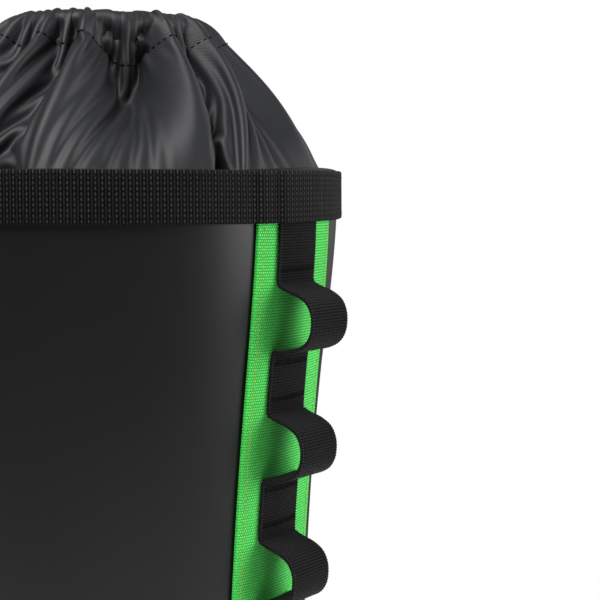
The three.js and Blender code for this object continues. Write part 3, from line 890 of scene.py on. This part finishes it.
# outline of the skirt's ridges: share of its drop, radius, height
SKIRT_SHAPE = [(0, 95, 397), (0.07, 93.5, 401.5), (0.12, 92.5, 405), (0.19, 91.5, 410), (0.27, 89, 415),
               (0.46, 80, 426), (0.62, 72.5, 435), (0.79, 64.5, 443.5), (1, 51.5, 453)]
# outline of the hem's outer layer: share of its height, radius, height
HEM_SHAPE = [(0, 51.5, 453), (0.2, 50.5, 457), (0.4, 48, 460.5), (0.6, 44, 462.8), (0.8, 40, 464),
             (1, 36.4, 464.6)]
# the inner layer, back down behind the cord to the stitch line: radius, height
HEM_INNER = [(33.6, 463.5), (33.2, 459), (35.5, 455), (40, 452.8)]


def pleat_table():
    """Angles of the ridges at hem and rim and cloth lengths up to them. The first ridge comes again last."""
    hem, rim = (np.radians([pleat[k] for pleat in PLEATS] + [PLEATS[0][k] + 360]) for k in (0, 1))
    cloth = np.maximum(1.004 * np.diff(rim) * RIM_RADIUS, LEAST_PLEAT)
    return hem, rim, np.concatenate([[0], np.cumsum(cloth)])


def pleated_rings():
    """First shape of the skirt: a grid of rows from the rim to the top of the hem."""
    hem, rim, along = pleat_table()
    total = along[-1]
    cloth = np.linspace(0, total, SKIRT_COLUMNS, endpoint=False)
    index = np.searchsorted(along, cloth, side="right") - 1
    length = along[index + 1] - along[index]
    share = (cloth - along[index]) / length
    drop, valley, gathers = np.array([pleat[2:] for pleat in PLEATS])[index].T
    turn = np.where(share < valley, share / valley / 2, 0.5 + (share - valley) / (1 - valley) / 2)
    wave = (1 - np.cos(2 * math.pi * turn)) / 2
    fine = (1 - np.cos(2 * math.pi * gathers * share)) / 2
    skirt, band = np.array(SKIRT_SHAPE), np.array(HEM_SHAPE)
    grid = np.zeros((SKIRT_ROWS + HEM_ROWS, SKIRT_COLUMNS, 3))
    for row in range(SKIRT_ROWS + HEM_ROWS):
        t = min(1.0, row / (SKIRT_ROWS - 1))
        up = max(0, row - SKIRT_ROWS + 1) / HEM_ROWS
        shape, at = (band, up) if up else (skirt, t)
        radius, height = (np.interp(at, shape[:, 0], shape[:, k]) * MM for k in (1, 2))
        blend = t * t * (3 - 2 * t)
        ridge = hem * blend + rim * (1 - blend)
        pitch = (ridge[index + 1] - ridge[index]) * radius * (1 - 0.12 * blend)
        depth = np.sqrt(np.maximum(length**2 - pitch**2, 0)) / 2 * PLEAT_FULLNESS
        gather = np.clip((t - GATHERS_FROM) / (1 - GATHERS_FROM), 0, 1) ** 1.5
        depth = np.minimum(depth * (1 - HEM_FLATTENING * gather), 0.5 * radius)
        small = FINE_DEPTH * gather * (1 - 0.35 * up) * 3 / gathers
        angle = ridge[index] + (ridge[index + 1] - ridge[index]) * share
        r = radius - depth * wave * (1 - 0.6 * up) - small * fine
        z = height - (blend * drop * (1 - up) - 1.2 * up) * wave * MM - 0.2 * small * fine * up
        grid[row] = polar(r, angle, z)
    return grid, total


def grid_links(rows, columns, across, down):
    """Groups of springs that share no point: (first points, second points, rest length, stiffness)."""
    number = np.arange(rows * columns).reshape(rows, columns)
    groups = []

    def link(first, second, rest, stiffness):
        groups.append((first.ravel(), second.ravel(), rest, stiffness))

    for start in (0, 1):
        link(number[:, start::2], np.roll(number, -1, 1)[:, start::2], across, 1.0)
        upper_rows = number[start:-1:2]
        link(upper_rows, number[start + 1::2][:len(upper_rows)], down, 1.0)
        for shift in (1, -1):
            beside = np.roll(number, -shift, 1)[start + 1::2][:len(upper_rows)]
            link(upper_rows, beside, math.hypot(across, down), BIAS)
    for start in range(4):
        link(number[:, start::4], np.roll(number, -2, 1)[:, start::4], 2 * across, BEND_ACROSS)
    for start in range(4):
        upper_rows = number[start:-2:4]
        link(upper_rows, number[start + 2::4][:len(upper_rows)], 2 * down, BEND_DOWN)
    return groups


def relax_skirt(grid, total, steps):
    """Cloth solver: the pleated panel finds its folds between the rim seam and the drawn-up hem."""
    rows, columns = grid.shape[:2]
    across = total / columns
    down = SKIRT_DROP / (SKIRT_ROWS - 1)
    groups = grid_links(rows, columns, across, down)
    points = grid.reshape(-1, 3).copy()
    target = points.copy()
    pull = np.full(rows, HEM_PULL)
    pull[:SKIRT_ROWS - 1] = SKIRT_PULL
    pull[0] = 1.0
    pull = np.repeat(pull, columns)[:, None]
    free = (pull < 1).astype(float)
    speed = np.zeros_like(points)
    for _ in range(steps):
        before = points.copy()
        outward = unit(points * [1, 1, 0]) * [1, 1, 0] + [0, 0, PUFF_RISE]
        points += speed * DAMPING + free * outward * PUFF
        for _ in range(3):
            for first, second, rest, stiffness in groups:
                gap = points[second] - points[first]
                size = np.linalg.norm(gap, axis=1, keepdims=True)
                weight = np.maximum(free[first] + free[second], 1)
                firm = np.where(size < rest, SLACK * stiffness, stiffness)
                move = gap * (firm * (size - rest) / np.maximum(size, 1e-9)) / weight
                points[first] += move * free[first]
                points[second] -= move * free[second]
        points += (target - points) * pull
        speed = points - before
    return points.reshape(rows, columns, 3)


def grid_normals(grid):
    round_it = np.roll(grid, -1, 1) - np.roll(grid, 1, 1)
    up = np.gradient(grid, axis=0)
    return unit(np.cross(round_it, up))


def push_off_cord(row, k):
    """Pushes row k of the hem outward from the cord, and a row past those beside it also up and over."""
    radius = np.hypot(row[:, 0], row[:, 1])
    side, rise = radius - CORD_RING * MM, row[:, 2] - CORD_HEIGHT * MM
    if k < ROWS_BESIDE_CORD:
        beside = np.sqrt(np.maximum(CORD_CLEARANCE**2 - rise**2, 0))
        under = 0.8 * np.minimum(rise + CORD_CLEARANCE, 0)
        push, facing = np.maximum(beside + under - side, 0), 0.0
    else:
        facing = math.radians(20 + 30 * (k - ROWS_BESIDE_CORD))
        clear = side * math.cos(facing) + rise * math.sin(facing)
        push = np.maximum(CORD_CLEARANCE - clear, 0)
    row[:, :2] *= ((radius + push * math.cos(facing)) / radius)[:, None]
    row[:, 2] += push * math.sin(facing)


def clear_of_cord(grid):
    """Keeps the hem's outer layer outside the cord that runs in it, and over it at the top."""
    hem = grid[SKIRT_ROWS - 1:].copy()
    for k in range(1, HEM_ROWS + 1):
        push_off_cord(hem[k], k)
    for _ in range(3):
        hem[1:-1] = 0.5 * hem[1:-1] + 0.25 * (hem[:-2] + hem[2:])
    for k in range(ROWS_BESIDE_CORD, HEM_ROWS + 1):
        push_off_cord(hem[k], k)
    return np.concatenate([grid[:SKIRT_ROWS - 1], hem])


def hem_tube(grid, total):
    """Sewn channel: the outer layer follows the gathers, the inner one turns back behind the cord."""
    proud = grid_normals(grid)[SKIRT_ROWS - 1:] * CLOTH_HALF
    outer = grid[SKIRT_ROWS - 1:] + proud
    angle = np.arctan2(outer[-1, :, 1], outer[-1, :, 0])
    ripple = np.hypot(outer[-1, :, 0], outer[-1, :, 1]) - HEM_SHAPE[-1][1] * MM
    inner = [polar(radius * MM - 0.7 * ripple, angle, height * MM) for radius, height in HEM_INNER]
    seam = grid[SKIRT_ROWS - 1] - proud[0]
    ring = np.concatenate([outer, inner, seam[None]])
    around = lengths(ring[:, 0])
    u = np.append(around, around[-1] + MM)
    v = np.linspace(0, total, grid.shape[1] + 1)
    return grid_object("drawcord_hem", ring, u, v, closed_rows=True, closed_columns=True)


def round_tube(name, path, radius, sides=12):
    """Round cord along a path."""
    tangent = unit(np.gradient(path, axis=0))
    side = np.zeros_like(path)
    side[0] = unit(np.cross(tangent[0], [0.3, 0.2, 1.0]))
    for i in range(1, len(path)):
        side[i] = unit(side[i - 1] - tangent[i] * np.dot(side[i - 1], tangent[i]))
    up = np.cross(tangent, side)
    angle = round_angles(sides)
    points = sweep(path, side, up, radius * np.cos(angle)[None, :], radius * np.sin(angle)[None, :])
    around = np.linspace(0, 2 * math.pi * radius, sides + 1)
    return grid_object(name, points, lengths(path), around, closed_columns=True, caps=True)


def cord_end(side):
    """One end of the cord in the exit's frame: in the pull tab, up the slope, through the eyelet and
    into the channel."""
    radius, height = SLOPE_START
    sine, cosine = math.sin(SLOPE_ANGLE), math.cos(SLOPE_ANGLE)

    def on_slope(along, lift):
        return (radius + along * cosine + lift * sine, 0, height - along * sine + lift * cosine)

    lift = LOCK_LIFT + side * CORD_SPACING / 2
    level = CORD_HEIGHT + side * CORD_SPACING / 2
    bend = CORD_RING + CORD_BEND
    return [
        on_slope(TAB_START + TAB_DEPTH, lift), on_slope(TAB_START - 6, lift),
        on_slope(LOCK_ALONG + LOCK_HALF, lift), on_slope(LOCK_ALONG - LOCK_HALF, lift),
        on_slope(0, lift - 0.2), (bend + 6, 0, level - 0.4),
        (bend, side * 0.2, level), (CORD_RING + CORD_BEND * 0.3, side * CORD_BEND * 0.32, level - side * 0.3),
    ]


def drawcord():
    ring = []
    for degrees in range(12, 349, 7):
        angle = math.radians(degrees)
        height = CORD_HEIGHT + CORD_SPACING * 0.4 * (1 - degrees / 180)
        ring.append((CORD_RING * math.cos(angle), CORD_RING * math.sin(angle), height))
    route = np.array([*cord_end(1), *ring, *cord_end(-1)[::-1]]) * MM
    path = turned_about_z(smooth_path(route, 1.2 * MM), CORD_EXIT_ANGLE)
    cord = round_tube("drawcord_braid", path, CORD_DIAMETER / 2 * MM)
    return dress(cord, BRAID, replaces=["drawcord"])


def subdivide(obj):
    smooth = obj.modifiers.new("smooth", "SUBSURF")
    smooth.levels = smooth.render_levels = 2
    return obj


def closure():
    grid, total = pleated_rings()
    grid = clear_of_cord(relax_skirt(grid, total, SOLVER_STEPS))
    v = np.linspace(0, total, SKIRT_COLUMNS + 1)
    height = SKIRT_DROP * SKIRT_ROWS / (SKIRT_ROWS - 1)
    u = np.linspace(0, height, SKIRT_ROWS + 1)
    skirt = grid_object("skirt_cloth", grid[:SKIRT_ROWS + 1], u, v, closed_columns=True)
    solid = skirt.modifiers.new("cloth thickness", "SOLIDIFY")
    solid.thickness = 0.5 * MM
    solid.offset = 0
    dress(subdivide(skirt), NYLON, replaces=["closure_skirt"])
    hem = dress(subdivide(hem_tube(grid, total)), NYLON, replaces=["drawcord_channel"])
    line = grid[SKIRT_ROWS - 1] + grid_normals(grid)[SKIRT_ROWS - 1] * 0.4 * MM
    stitches = sew("hem_stitches", [np.concatenate([line, line[:1]])], 3.0 * MM, 1.9 * MM, 0.34 * MM)


body_wall()
rim_and_foot()
for side_name, side_turn in SIDES.items():
    side_webbing(side_name, side_turn)
    forward = DAISY_FORWARD / RIM_RADIUS
    daisy_chain(side_name, side_turn + (forward if side_turn else -forward))
back_patch()
carry_handle()
haul_loop()
inner_tie_loop()
closure()
drawcord()

# ---- CAD nodes that stay ----

KEPT = {
    "base_disc": TARPAULIN, "rim_stiffener": PLASTIC, "cord_exit_eyelet": STEEL, "cord_lock_body": PLASTIC,
    "cord_lock_button": PLASTIC, "cord_lock_spring": STEEL, "cord_pull_tab": PLASTIC,
}
for node_name, finish_material in KEPT.items():
    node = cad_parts[node_name]
    node.data.materials.clear()
    node.data.materials.append(finish_material)

# ---- stage and light ----


ROOM_LIGHT = 0.15
# azimuth, elevation, distance, size, power
LIGHTS = {
    "key": (114, 15, 1.5, (0.9, 1.2), 19),
    "top": (0, 58, 1.5, (0.8, 0.8), 22),
    "back": (170, 20, 1.8, (1.2, 1.6), 3),
}
LIGHTS_AIM = Vector((0, 0, 0.25))
FLOOR_RADIUS, FLOOR_GLOW = 0.6, 0.45


def area_light(name, azimuth, elevation, distance, size, power):
    data = bpy.data.lights.new(name, "AREA")
    data.shape = "RECTANGLE"
    data.size, data.size_y = size
    data.energy = power
    light = bpy.data.objects.new(name, data)
    light.visible_camera = False
    bpy.context.scene.collection.objects.link(light)
    a, e = math.radians(azimuth), math.radians(elevation)
    out = Vector((math.sin(a) * math.cos(e), -math.cos(a) * math.cos(e), math.sin(e)))
    light.location = LIGHTS_AIM + out * distance
    light.rotation_euler = (-out).to_track_quat("-Z", "Y").to_euler()


def studio():
    world = bpy.data.worlds.new("studio")
    world.use_nodes = True
    nodes, links = world.node_tree.nodes, world.node_tree.links
    room = nodes["Background"]
    room.inputs[0].default_value = (1, 1, 1, 1)
    room.inputs[1].default_value = ROOM_LIGHT
    backdrop = nodes.new("ShaderNodeBackground")
    backdrop.inputs[0].default_value = (1, 1, 1, 1)
    path = nodes.new("ShaderNodeLightPath")
    mix = nodes.new("ShaderNodeMixShader")
    links.new(path.outputs["Is Camera Ray"], mix.inputs[0])
    links.new(room.outputs[0], mix.inputs[1])
    links.new(backdrop.outputs[0], mix.inputs[2])
    links.new(mix.outputs[0], nodes["World Output"].inputs[0])
    bpy.context.scene.world = world
    bpy.context.scene.view_settings.view_transform = "Standard"
    for name, values in LIGHTS.items():
        area_light(name, *values)
    bpy.ops.mesh.primitive_circle_add(vertices=96, radius=FLOOR_RADIUS, fill_type="NGON", location=(0, 0, 0))
    floor = bpy.context.object
    floor.name = "floor"
    floor_finish = Shader("pale floor").finish((0.93, 0.93, 0.93, 1), 0.8, None, Emission_Color=(1, 1, 1, 1),
                                               Emission_Strength=FLOOR_GLOW)
    floor.data.materials.append(floor_finish)


studio()
